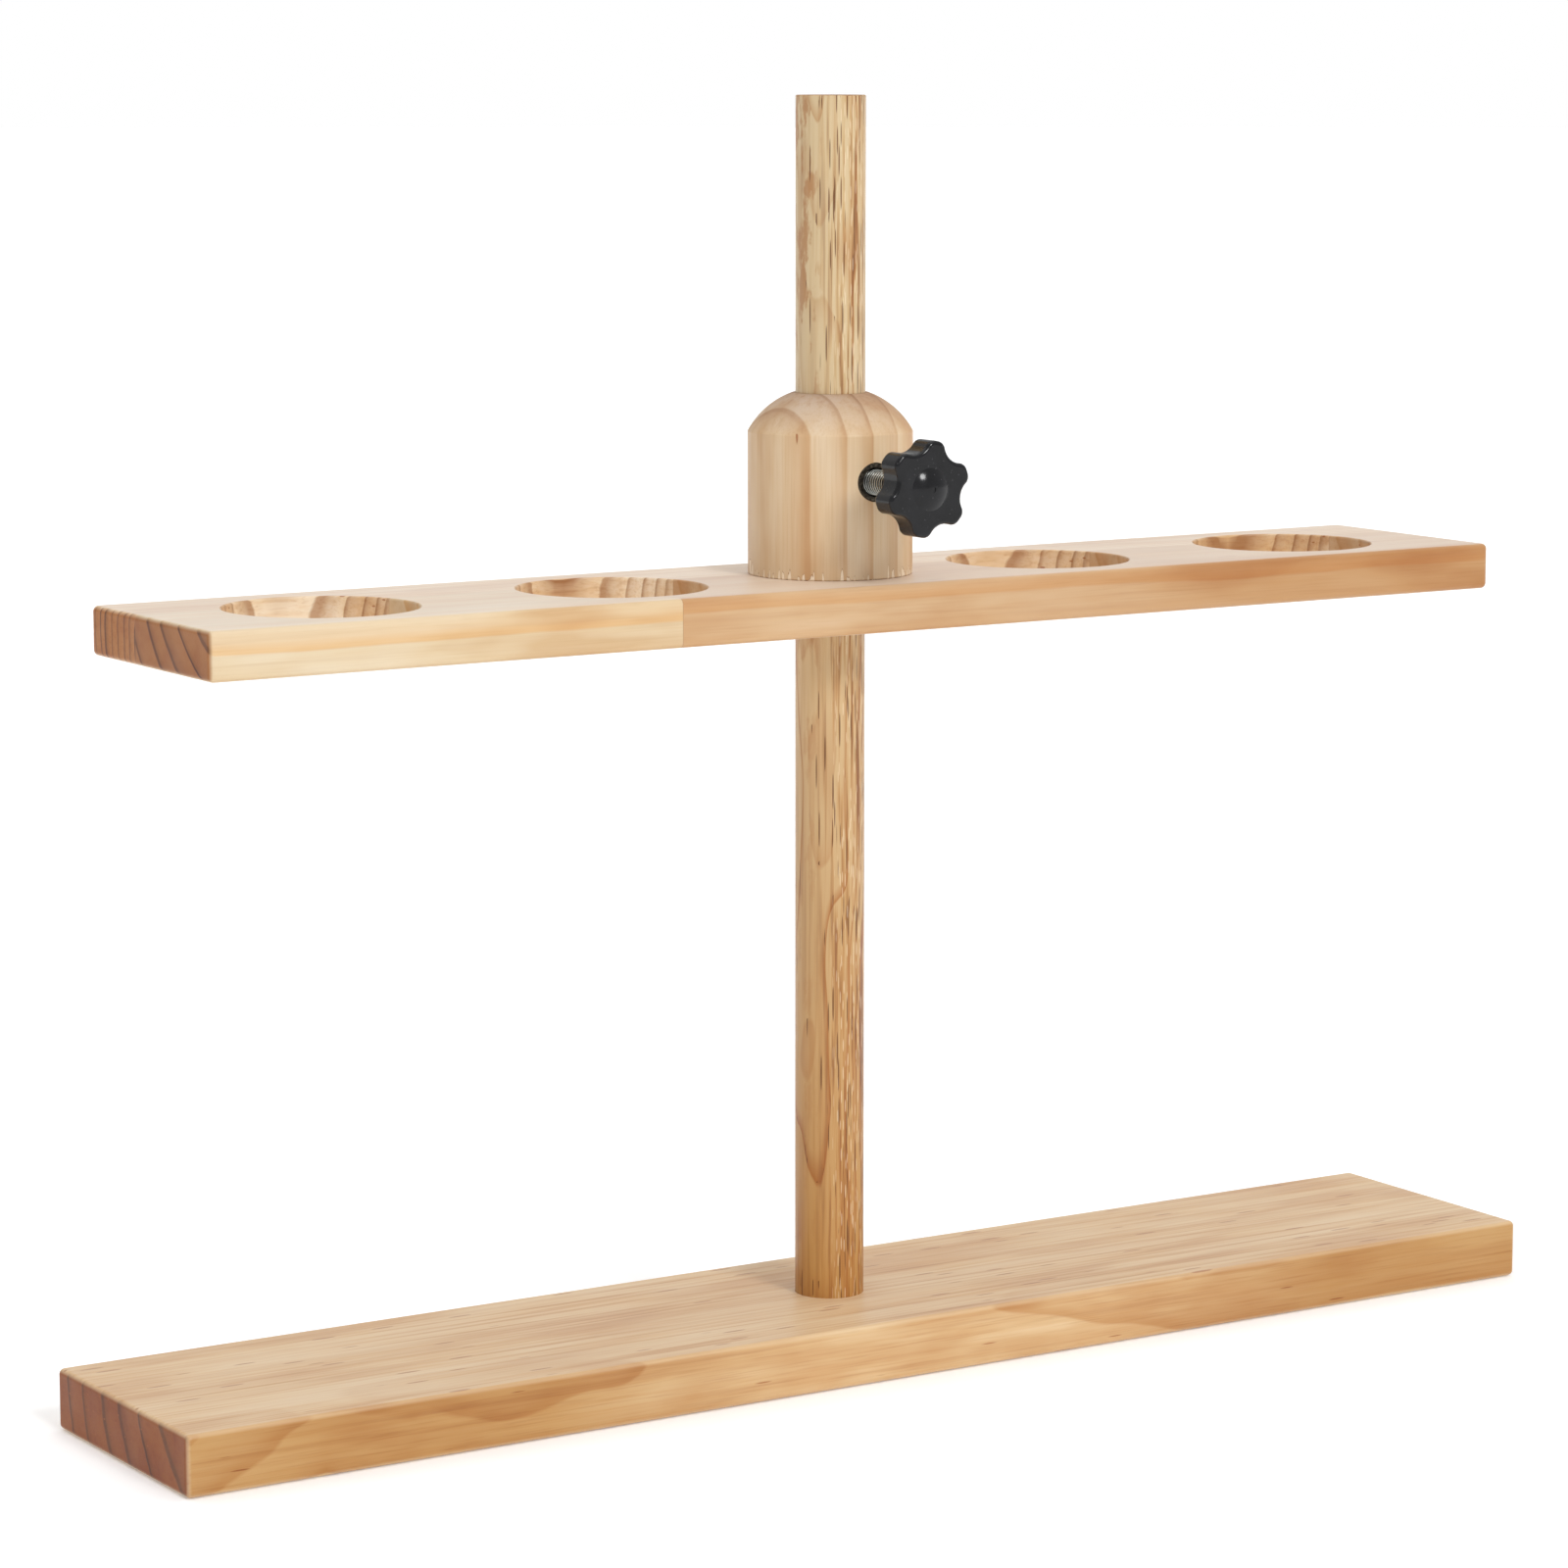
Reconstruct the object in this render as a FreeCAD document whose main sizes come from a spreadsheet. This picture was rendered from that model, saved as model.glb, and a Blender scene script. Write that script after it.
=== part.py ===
import FreeCAD, Part
import math
import os

import Sketcher

# Height-adjustable wooden holder: a base board, a round post standing in it, and a thinner board with
# four through holes that slides up and down the post. A turned collar on that board carries a clamping
# knob. Frame: +X along the boards, -Y towards the knob, +Z up, origin under the middle of the base.

Vector = FreeCAD.Vector
Rotation = FreeCAD.Rotation
Placement = FreeCAD.Placement

doc = FreeCAD.newDocument("HolePostHolder")

# ---------------------------------------------------------------------------------------------
# Driving dimensions, millimetres and degrees
# ---------------------------------------------------------------------------------------------
DIMENSIONS = {
    # base board
    "base_length": 500,
    "base_width": 90,
    "base_thick": 19,
    "base_round": 1.8,
    "socket_depth": 12,
    # post
    "post_radius": 11,
    "post_top": 401,
    "post_chamfer": 0.3,
    "post_seat_gap": 0.3,
    "post_socket_fit": 0.05,
    # holder board
    "holder_length": 472,
    "holder_width": 80,
    "holder_thick": 15,
    "holder_round": 1.8,
    "holder_bottom": 236.5,
    "cup_hole_radius": 29.5,
    "cup_hole_near": 80,
    "cup_hole_far": 180,
    "cup_hole_round": 0.7,
    "holder_post_gap": 0.5,
    # collar
    "collar_radius": 26,
    "collar_height": 57,
    "collar_wall_height": 45,
    "collar_dome_radius": 26,
    "collar_top_land": 0.8,
    "collar_break": 1.2,
    "collar_foot_round": 0.5,
    "collar_post_fit": 0.1,
    # clamping screw: insert, stud and knob share one axis
    "knob_height": 282,
    "insert_radius": 6.1,
    "insert_root": 5.3,
    "insert_bore": 4.1,
    "insert_front": 26,
    "insert_length": 13,
    "insert_pitch": 2,
    "insert_flange": 1.6,
    "insert_break": 0.3,
    "insert_mouth": 0.6,
    "insert_fit": 0.05,
    "stud_radius": 4,
    "stud_pitch": 1.25,
    "stud_thread_depth": 0.62,
    "stud_tip": 11.3,
    "stud_end": 52.4,
    "stud_chamfer": 0.7,
    "stud_clearance": 0.4,
    "hub_back": 43,
    "hub_radius": 6.5,
    "hub_break": 0.6,
    "hub_spread": 0.3,
    "hub_depth_in_grip": 2,
    "head_back": 47,
    "head_front": 56.4,
    "head_radius": 15,
    "valley_radius": 11.9,
    "valley_arc": 6.2,
    "lobe_angle": 19,
    "lobe_spacing": 60,
    "lobe_round": 2.9,
    "head_round": 1.3,
    "head_dome_radius": 6.6,
    "head_dome_height": 1.9,
    "head_dome_curve": 11,
    "gate_radius": 0.8,
    "gate_depth": 0.25,
    "head_bore_fit": 0.05,
    # post screw, from under the base into the post
    "post_screw_head": 4.6,
    "post_screw_shank": 2.5,
    "post_screw_core": 1.7,
    "post_screw_length": 40,
    "post_screw_plain": 10,
    "post_screw_pitch": 2.5,
    "post_screw_sink": 0.5,
    # collar screws, from under the holder board into the collar
    "collar_screw_head": 4,
    "collar_screw_shank": 2,
    "collar_screw_core": 1.35,
    "collar_screw_length": 32,
    "collar_screw_plain": 15,
    "collar_screw_pitch": 1.8,
    "collar_screw_sink": 0.4,
    "collar_screw_offset": 18.6,
    # allowances shared by both kinds of wood screw
    "screw_hole_gap": 0.3,
    "screw_pilot_fit": 0.05,
    "screw_rim": 0.4,
    "cross_width": 1.1,
    "cross_depth": 1.8,
}

sheet = doc.addObject("Spreadsheet::Sheet", "sizes")
for row, (alias, value) in enumerate(DIMENSIONS.items(), start=1):
    sheet.set("A%d" % row, alias)
    sheet.set("B%d" % row, str(value))
    sheet.setAlias("B%d" % row, alias)
doc.recompute()


def size(alias):
    """Current value of a named cell."""
    return float(sheet.get(alias))


def ref(text):
    """Expression text in which every bare alias is pointed at the sheet."""
    words = sorted(DIMENSIONS, key=len, reverse=True)
    out = ""
    place = 0
    while place < len(text):
        for word in words:
            if text.startswith(word, place):
                out += "sizes." + word
                place += len(word)
                break
        else:
            out += text[place]
            place += 1
    return out


def value_of(text):
    """Number an expression of aliases gives now, used to draw a sketch before it is constrained."""
    total = text
    for word in sorted(DIMENSIONS, key=len, reverse=True):
        total = total.replace(word, repr(size(word)))
    return float(FreeCAD.Units.Quantity(total).Value)


# ---------------------------------------------------------------------------------------------
# Sketch and feature helpers
# ---------------------------------------------------------------------------------------------
def new_body(name, label):
    body = doc.addObject("PartDesign::Body", name)
    body.Label = label
    return body


def origin_plane(body, role):
    for feature in body.Origin.OriginFeatures:
        if feature.Role == role:
            return feature
    raise ValueError(role)


def new_sketch(body, name, role, height="0"):
    """Sketch on one of the body's own planes, lifted along that plane's normal."""
    sketch = body.newObject("Sketcher::SketchObject", name)
    sketch.AttachmentSupport = [(origin_plane(body, role), "")]
    sketch.MapMode = "FlatFace"
    sketch.AttachmentOffset = Placement(Vector(0, 0, value_of(height)), Rotation())
    sketch.setExpression("AttachmentOffset.Base.z", ref(height))
    return sketch


def bind(sketch, kind, elements, name, expression):
    """Named dimension constraint driven by the sheet."""
    index = sketch.addConstraint(Sketcher.Constraint(kind, *elements, value_of(expression)))
    sketch.renameConstraint(index, name)
    sketch.setExpression("Constraints." + name, ref(expression))


def add_circle(sketch, name, radius, across="0", up="0"):
    """Circle whose centre and radius follow the sheet."""
    centre = Vector(value_of(across), value_of(up), 0)
    index = sketch.addGeometry(Part.Circle(centre, Vector(0, 0, 1), value_of(radius)), False)
    bind(sketch, "Radius", (index,), name + "_radius", radius)
    for axis, place in (("X", across), ("Y", up)):
        if value_of(place) == 0:
            kind = "PointOnObject"
            line = -2 if axis == "X" else -1
            sketch.addConstraint(Sketcher.Constraint(kind, index, 3, line))
        else:
            bind(sketch, "Distance" + axis, (-1, 1, index, 3), name + "_at_" + axis.lower(), place)


def add_rectangle(sketch, width, depth):
    """Rectangle centred on the sketch's origin."""
    half_x = value_of(width) / 2
    half_y = value_of(depth) / 2
    corners = [
        Vector(-half_x, -half_y, 0),
        Vector(half_x, -half_y, 0),
        Vector(half_x, half_y, 0),
        Vector(-half_x, half_y, 0),
    ]
    for side in range(4):
        sketch.addGeometry(Part.LineSegment(corners[side], corners[(side + 1) % 4]), False)
    for side in range(4):
        sketch.addConstraint(Sketcher.Constraint("Coincident", side, 2, (side + 1) % 4, 1))
    for side, kind in enumerate(("Horizontal", "Vertical", "Horizontal", "Vertical")):
        sketch.addConstraint(Sketcher.Constraint(kind, side))
    sketch.addConstraint(Sketcher.Constraint("Symmetric", 0, 1, 1, 2, -1, 1))
    bind(sketch, "DistanceX", (0, 1, 0, 2), "width", width)
    bind(sketch, "DistanceY", (1, 1, 1, 2), "depth", depth)


def bulge(start, end, radius):
    """Arc from start to end, centred on the left of the way round, as on a convex outline."""
    chord = end - start
    reach = math.sqrt(radius ** 2 - (chord.Length / 2) ** 2)
    centre = (start + end) * 0.5 + Vector(-chord.y, chord.x, 0).normalize() * reach
    circle = Part.Circle(centre, Vector(0, 0, 1), radius)
    first = math.atan2(start.y - centre.y, start.x - centre.x)
    last = math.atan2(end.y - centre.y, end.x - centre.x)
    return Part.ArcOfCircle(circle, first, last)


def add_profile(sketch, points, arcs=None):
    """Closed outline whose corners follow the sheet; arcs gives the radius of each curved edge."""
    arcs = arcs or {}
    places = [Vector(value_of(x), value_of(y), 0) for x, y in points]
    count = len(points)
    for corner in range(count):
        start = places[corner]
        end = places[(corner + 1) % count]
        if corner in arcs:
            sketch.addGeometry(bulge(start, end, value_of(arcs[corner])), False)
        else:
            sketch.addGeometry(Part.LineSegment(start, end), False)
    for corner in range(count):
        sketch.addConstraint(Sketcher.Constraint("Coincident", corner, 2, (corner + 1) % count, 1))
    pin_corners(sketch, points)
    for edge, radius in arcs.items():
        bind(sketch, "Radius", (edge,), "arc%d" % edge, radius)


def pin_corners(sketch, points):
    """Tie the start of each edge to its own pair of coordinates."""
    for corner, pair in enumerate(points):
        for axis, place, line in (("X", pair[0], -2), ("Y", pair[1], -1)):
            if abs(value_of(place)) < 1e-9:
                sketch.addConstraint(Sketcher.Constraint("PointOnObject", corner, 1, line))
            else:
                name = "corner%d_%s" % (corner, axis.lower())
                bind(sketch, "Distance" + axis, (-1, 1, corner, 1), name, place)


def pad(body, sketch, name, length, reverse=False):
    feature = body.newObject("PartDesign::Pad", name)
    feature.Profile = sketch
    feature.Reversed = reverse
    feature.Length = value_of(length)
    feature.setExpression("Length", ref(length))
    doc.recompute()
    return feature


def cut_checked(body, feature, before):
    """A cut that points away from the solid removes nothing and says nothing, so compare volumes."""
    doc.recompute()
    if not feature.Shape.Volume < before - 1e-6:
        raise RuntimeError(feature.Name + " removed nothing")
    return feature


def pocket(body, sketch, name, depth, reverse=False):
    before = body.Shape.Volume
    feature = body.newObject("PartDesign::Pocket", name)
    feature.Profile = sketch
    feature.Type = 0
    feature.Reversed = reverse
    feature.Length = value_of(depth)
    feature.setExpression("Length", ref(depth))
    return cut_checked(body, feature, before)


def turn(body, sketch, name, kind="Revolution", axis="V_Axis"):
    """Solid of revolution, or a groove, about one of the sketch's own axes."""
    before = body.Shape.Volume if kind == "Groove" else 0
    feature = body.newObject("PartDesign::" + kind, name)
    feature.Profile = sketch
    feature.ReferenceAxis = (sketch, [axis])
    feature.Angle = 360
    if kind == "Groove":
        return cut_checked(body, feature, before)
    doc.recompute()
    return feature


def round_edges(body, base, name, chosen, radius, kind="Fillet"):
    """Fillet or chamfer every edge of base that the test picks."""
    names = []
    for index, edge in enumerate(base.Shape.Edges, start=1):
        if chosen(edge):
            names.append("Edge%d" % index)
    feature = body.newObject("PartDesign::" + kind, name)
    feature.Base = (base, names)
    driven = "Radius" if kind == "Fillet" else "Size"
    setattr(feature, driven, value_of(radius))
    feature.setExpression(driven, ref(radius))
    doc.recompute()
    return feature


def is_straight(edge):
    return not edge.Degenerated and edge.Curve.TypeId == "Part::GeomLine"


def circle_at(edge, radius, height):
    """True for a horizontal circle of this radius at this height."""
    if edge.Degenerated or edge.Curve.TypeId != "Part::GeomCircle":
        return False
    same_radius = abs(edge.Curve.Radius - value_of(radius)) < 1e-4
    return same_radius and abs(edge.Curve.Center.z - value_of(height)) < 1e-4


# ---------------------------------------------------------------------------------------------
# Wood screw: countersunk head at the bottom, point at the top, ridged thread, cross recess
# ---------------------------------------------------------------------------------------------
def wood_screw(name, label, prefix):
    head = prefix + "_head"
    shank = prefix + "_shank"
    core = prefix + "_core"
    length = prefix + "_length"
    plain = prefix + "_plain"
    pitch = prefix + "_pitch"
    body = new_body(name, label)
    profile = new_sketch(body, name + "_profile", "XZ_Plane")
    under_head = "(%s - %s + screw_rim)" % (head, shank)
    points = [("0", "0"), (head, "0"), (head, "screw_rim"), (shank, under_head), (shank, plain)]
    taper = 3 * value_of(pitch)
    turns = int((value_of(length) - value_of(plain) - taper) / value_of(pitch))
    for ridge in range(turns):
        foot = "(%s + %g * %s)" % (plain, ridge + 0.25, pitch)
        crest = "(%s + %g * %s)" % (plain, ridge + 0.6, pitch)
        next_foot = "(%s + %g * %s)" % (plain, ridge + 0.95, pitch)
        points += [(core, foot), (shank, crest), (core, next_foot)]
    points.append((core, "(%s - 2 * %s)" % (length, pitch)))
    points.append(("0", length))
    add_profile(profile, points)
    turn(body, profile, name + "_turned")
    recess = new_sketch(body, name + "_cross", "XY_Plane")
    add_profile(recess, cross_outline(head))
    pocket(body, recess, name + "_recess", "cross_depth", reverse=True)
    return body


def cross_outline(head):
    """Twelve corners of the cross-shaped driver recess."""
    half = "(cross_width / 2)"
    reach = "(%s * 0.55)" % head
    arm = [(half, half), (half, reach), ("(0 - %s)" % half, reach), ("(0 - %s)" % half, half)]
    corners = []
    for quarter in range(4):
        for x, y in arm[:3]:
            corners.append((x, y))
        arm = [("(0 - %s)" % y, x) for x, y in arm]
    return corners


# ---------------------------------------------------------------------------------------------
# Base board: long plank with eased edges, a blind socket for the post and a countersunk screw hole
# ---------------------------------------------------------------------------------------------
base = new_body("BaseBoard", "base_board")
outline = new_sketch(base, "base_outline", "XY_Plane")
add_rectangle(outline, "base_length", "base_width")
plank = pad(base, outline, "base_plank", "base_thick")
round_edges(base, plank, "base_eased", is_straight, "base_round")
socket = new_sketch(base, "post_socket_sketch", "XY_Plane", "base_thick")
add_circle(socket, "socket", "post_radius + post_socket_fit")
pocket(base, socket, "post_socket", "socket_depth")
hole = new_sketch(base, "screw_hole_profile", "XZ_Plane")
head_hole = "(post_screw_head + screw_hole_gap)"
shank_hole = "(post_screw_shank + screw_hole_gap)"
cone_foot = "(post_screw_sink + screw_rim)"
cone_top = "(%s + post_screw_head - post_screw_shank)" % cone_foot
add_profile(hole, [
    ("0", "0 - 1"),
    (head_hole, "0 - 1"),
    (head_hole, cone_foot),
    (shank_hole, cone_top),
    (shank_hole, "base_thick - socket_depth + 1"),
    ("0", "base_thick - socket_depth + 1"),
])
turn(base, hole, "screw_hole", kind="Groove")

# ---------------------------------------------------------------------------------------------
# Post: plain dowel, chamfered at the top, with a pilot hole for the screw in its foot
# ---------------------------------------------------------------------------------------------
post_foot = "(base_thick - socket_depth + post_seat_gap)"
post = new_body("Post", "post")
round_bar = new_sketch(post, "post_circle", "XY_Plane", post_foot)
add_circle(round_bar, "bar", "post_radius")
bar = pad(post, round_bar, "post_bar", "post_top - %s" % post_foot)
round_edges(
    post, bar, "post_top_chamfer",
    lambda edge: circle_at(edge, "post_radius", "post_top"), "post_chamfer", kind="Chamfer")
pilot = new_sketch(post, "post_pilot_sketch", "XY_Plane", post_foot)
add_circle(pilot, "pilot", "post_screw_shank + screw_pilot_fit")
pilot_depth = "post_screw_sink + post_screw_length + 1 - %s" % post_foot
pocket(post, pilot, "post_pilot", pilot_depth, reverse=True)

# Screw that holds the post; its head sits just inside the underside of the base
post_screw = wood_screw("PostScrew", "post_screw", "post_screw")
post_screw.setExpression("Placement.Base.z", ref("post_screw_sink"))

# ---------------------------------------------------------------------------------------------
# Holder board: plank with four through holes, a centre hole for the post and two screw holes
# ---------------------------------------------------------------------------------------------
holder = new_body("HolderBoard", "holder_board")
holder_outline = new_sketch(holder, "holder_outline", "XY_Plane")
add_rectangle(holder_outline, "holder_length", "holder_width")
shelf = pad(holder, holder_outline, "holder_plank", "holder_thick")
round_edges(holder, shelf, "holder_eased", is_straight, "holder_round")
cup_holes = new_sketch(holder, "cup_holes_sketch", "XY_Plane", "holder_thick")
for name, place in (("near", "cup_hole_near"), ("far", "cup_hole_far")):
    add_circle(cup_holes, name + "_right", "cup_hole_radius", place)
    add_circle(cup_holes, name + "_left", "cup_hole_radius", "0 - " + place)
bored = pocket(holder, cup_holes, "cup_holes", "holder_thick + 1")
round_edges(
    holder, bored, "cup_hole_eased",
    lambda edge: (circle_at(edge, "cup_hole_radius", "holder_thick")
                  or circle_at(edge, "cup_hole_radius", "0")),
    "cup_hole_round")
post_hole = new_sketch(holder, "holder_post_hole_sketch", "XY_Plane", "holder_thick")
add_circle(post_hole, "clear", "post_radius + holder_post_gap")
pocket(holder, post_hole, "holder_post_hole", "holder_thick + 1")
shank_gap = "(collar_screw_shank + screw_hole_gap)"
head_gap = "(collar_screw_head + screw_hole_gap)"
sink_foot = "(collar_screw_sink + screw_rim)"
for side, sign in (("right", ""), ("left", "0 - ")):
    shank_sketch = new_sketch(holder, "screw_shank_" + side, "XY_Plane", "holder_thick")
    add_circle(shank_sketch, "shank", shank_gap, sign + "collar_screw_offset")
    pocket(holder, shank_sketch, "screw_clearance_" + side, "holder_thick + 1")
    sink_sketch = new_sketch(holder, "screw_sink_" + side, "XY_Plane")
    add_circle(sink_sketch, "sink", head_gap, sign + "collar_screw_offset")
    sunk = pocket(holder, sink_sketch, "screw_head_" + side, sink_foot, reverse=True)
round_edges(
    holder, sunk, "countersinks",
    lambda edge: circle_at(edge, shank_gap, sink_foot),
    "collar_screw_head - collar_screw_shank - 0.05", kind="Chamfer")
holder.setExpression("Placement.Base.z", ref("holder_bottom"))

# ---------------------------------------------------------------------------------------------
# Collar: turned boss with a domed shoulder, bored for the post and cross-bored for the clamp
# ---------------------------------------------------------------------------------------------
collar = new_body("Collar", "collar")
section = new_sketch(collar, "collar_section", "XZ_Plane")
bore = "(post_radius + collar_post_fit)"
land = "(%s + collar_top_land)" % bore
add_profile(section, [
    (bore, "0"),
    ("collar_radius", "0"),
    ("collar_radius", "collar_wall_height"),
    (land, "collar_height"),
    (bore, "collar_height"),
], arcs={2: "collar_dome_radius"})
boss = turn(collar, section, "collar_turned")
shoulder = round_edges(
    collar, boss, "collar_shoulder",
    lambda edge: circle_at(edge, "collar_radius", "collar_wall_height"), "collar_break")
round_edges(
    collar, shoulder, "collar_foot",
    lambda edge: circle_at(edge, "collar_radius", "0"), "collar_foot_round")
above_foot = "(knob_height - holder_bottom - holder_thick)"
insert_hole = new_sketch(collar, "insert_hole_sketch", "XZ_Plane", "insert_front - insert_length")
add_circle(insert_hole, "insert_hole", "insert_radius + insert_fit", "0", above_foot)
pocket(collar, insert_hole, "insert_hole", "insert_length + 5", reverse=True)
stud_hole = new_sketch(collar, "stud_hole_sketch", "XZ_Plane", "post_radius - 3")
add_circle(stud_hole, "stud_hole", "stud_radius + stud_clearance", "0", above_foot)
pocket(collar, stud_hole, "stud_hole", "collar_radius - post_radius", reverse=True)
for side, sign in (("right", ""), ("left", "0 - ")):
    pilot_sketch = new_sketch(collar, "collar_pilot_" + side, "XY_Plane")
    add_circle(pilot_sketch, "pilot", "collar_screw_shank + screw_pilot_fit",
               sign + "collar_screw_offset")
    pocket(collar, pilot_sketch, "collar_pilot_hole_" + side,
           "collar_screw_sink + collar_screw_length + 1 - holder_thick", reverse=True)
collar.setExpression("Placement.Base.z", ref("holder_bottom + holder_thick"))

# Two screws that hold the collar, one each side of the post, in one node
screw = wood_screw("CollarScrew", "collar_screw_form", "collar_screw")
screw.setExpression("Placement.Base.x", ref("collar_screw_offset"))
screw.setExpression("Placement.Base.z", ref("holder_bottom + collar_screw_sink"))
twin = doc.addObject("Part::Mirroring", "CollarScrewTwin")
twin.Source = screw
twin.Normal = Vector(1, 0, 0)
twin.Base = Vector(0, 0, 0)
pair = doc.addObject("Part::Compound", "CollarScrews")
pair.Label = "collar_screws"
pair.Links = [screw, twin]
doc.recompute()

# ---------------------------------------------------------------------------------------------
# Clamping screw. Each piece is drawn with its own Z along the screw, outwards from the post's
# axis, then laid over so that Z points to -Y at the knob's height.
# ---------------------------------------------------------------------------------------------
LAID_OVER = Rotation(Vector(1, 0, 0), 90)


def lay_over(body):
    body.Placement = Placement(Vector(0, 0, size("knob_height")), LAID_OVER)
    body.setExpression("Placement.Base.z", ref("knob_height"))


# Threaded insert: bushing with a coarse outer thread and a plain collar at its mouth
insert = new_body("ThreadedInsert", "threaded_insert")
insert_back = "(insert_front - insert_length)"
insert_profile = new_sketch(insert, "insert_profile", "XZ_Plane")
outside = [("insert_bore", insert_back), ("insert_root", insert_back)]
ridges = int((size("insert_length") - size("insert_flange")) / size("insert_pitch"))
for ridge in range(ridges):
    for share, radius in ((0.15, "insert_root"), (0.5, "insert_radius"), (0.85, "insert_root")):
        outside.append((radius, "(%s + %g * insert_pitch)" % (insert_back, ridge + share)))
outside += [
    ("insert_root", "(insert_front - insert_flange - insert_break)"),
    ("insert_radius", "(insert_front - insert_flange)"),
    ("insert_radius", "(insert_front - insert_break)"),
    ("(insert_radius - insert_break)", "insert_front"),
    ("(insert_bore + insert_mouth)", "insert_front"),
    ("insert_bore", "(insert_front - insert_mouth)"),
]
add_profile(insert_profile, outside)
turn(insert, insert_profile, "insert_turned")
lay_over(insert)

# Lock stud: threaded rod whose plain end is held in the knob
stud = new_body("LockStud", "lock_stud")
rod_sketch = new_sketch(stud, "stud_circle", "XY_Plane", "stud_tip")
add_circle(rod_sketch, "rod", "stud_radius")
rod = pad(stud, rod_sketch, "stud_rod", "stud_end - stud_tip")
round_edges(
    stud, rod, "stud_point",
    lambda edge: circle_at(edge, "stud_radius", "stud_tip"), "stud_chamfer", kind="Chamfer")
groove = new_sketch(stud, "thread_groove", "XZ_Plane")
half_mouth = "(stud_pitch * 0.42)"
thread_start = "(stud_tip - stud_pitch)"
add_profile(groove, [
    ("stud_radius + 0.05", "%s - %s" % (thread_start, half_mouth)),
    ("stud_radius + 0.05", "%s + %s" % (thread_start, half_mouth)),
    ("stud_radius - stud_thread_depth", "%s + stud_pitch * 0.07" % thread_start),
    ("stud_radius - stud_thread_depth", "%s - stud_pitch * 0.07" % thread_start),
])
doc.recompute()
rod_volume = stud.Shape.Volume
helix = stud.newObject("PartDesign::SubtractiveHelix", "stud_thread")
helix.Profile = groove
helix.ReferenceAxis = (groove, ["V_Axis"])
helix.Mode = 0
helix.Pitch = size("stud_pitch")
helix.setExpression("Pitch", ref("stud_pitch"))
helix.Height = value_of("hub_back - stud_tip + stud_pitch - 0.4")
helix.setExpression("Height", ref("hub_back - stud_tip + stud_pitch - 0.4"))
cut_checked(stud, helix, rod_volume)
lay_over(stud)

# Knob head: hub, six-lobed grip and a low dome with a small gate mark, moulded in one
knob = new_body("KnobHead", "knob_head")
disc_sketch = new_sketch(knob, "grip_disc", "XY_Plane", "head_back")
add_circle(disc_sketch, "disc", "head_radius")
disc = pad(knob, disc_sketch, "grip", "head_front - head_back")
valley = new_sketch(knob, "valley_circle", "XY_Plane", "head_front")
valley_far = "(valley_radius + valley_arc)"
angle = "(lobe_angle + lobe_spacing / 2)"
valley_x = size("valley_radius") + size("valley_arc")
valley_turn = math.radians(size("lobe_angle") + size("lobe_spacing") / 2)
ring = valley.addGeometry(
    Part.Circle(Vector(valley_x * math.cos(valley_turn), valley_x * math.sin(valley_turn), 0),
                Vector(0, 0, 1), size("valley_arc")), False)
bind(valley, "Radius", (ring,), "scoop", "valley_arc")
for axis, function in (("X", "cos"), ("Y", "sin")):
    across = valley_x * getattr(math, function)(valley_turn)
    index = valley.addConstraint(
        Sketcher.Constraint("Distance" + axis, -1, 1, ring, 3, across))
    valley.renameConstraint(index, "scoop_" + function)
    valley.setExpression(
        "Constraints.scoop_" + function,
        ref("%s * %s(%s * 1 deg)" % (valley_far, function, angle)))
scoop = pocket(knob, valley, "valley", "head_front - head_back + 1")
scoops = knob.newObject("PartDesign::PolarPattern", "valleys")
scoops.Originals = [scoop]
scoops.Axis = (disc_sketch, ["N_Axis"])
scoops.Angle = 360
scoops.Occurrences = round(360 / size("lobe_spacing"))
knob.Tip = scoops
doc.recompute()
soft = round_edges(
    knob, scoops, "lobes_soft",
    lambda edge: is_straight(edge) and abs(edge.BoundBox.ZLength) > 1, "lobe_round")


def on_grip_face(edge):
    box = edge.BoundBox
    for face in ("head_front", "head_back"):
        if box.ZLength < 1e-4 and abs(box.ZMin - size(face)) < 1e-4:
            return True
    return False


round_edges(knob, soft, "grip_soft", on_grip_face, "head_round")
hub_sketch = new_sketch(knob, "hub_profile", "XZ_Plane")
dome_top = "(head_front + head_dome_height)"
gate_floor = "(%s - gate_depth)" % dome_top
add_profile(hub_sketch, [
    ("0", "hub_back"),
    ("(hub_radius - hub_break)", "hub_back"),
    ("hub_radius", "(hub_back + hub_break)"),
    ("(hub_radius + hub_spread)", "head_back"),
    ("(hub_radius + hub_spread)", "(head_back + hub_depth_in_grip)"),
    ("head_dome_radius", "(head_front - hub_break)"),
    ("head_dome_radius", "head_front"),
    ("gate_radius", dome_top),
    ("gate_radius", gate_floor),
    ("0", gate_floor),
], arcs={6: "head_dome_curve"})
turn(knob, hub_sketch, "hub_and_dome")
bore_sketch = new_sketch(knob, "stud_bore_sketch", "XY_Plane", "hub_back")
add_circle(bore_sketch, "stud_bore", "stud_radius + head_bore_fit")
pocket(knob, bore_sketch, "stud_bore", "stud_end - hub_back + 0.3", reverse=True)
lay_over(knob)

# ---------------------------------------------------------------------------------------------
# Check every object, then write one file for each piece
# ---------------------------------------------------------------------------------------------
doc.recompute()
for item in doc.Objects:
    if "Invalid" in item.State or "Error" in item.State:
        raise RuntimeError("%s is in state %s" % (item.Name, item.State))

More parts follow.
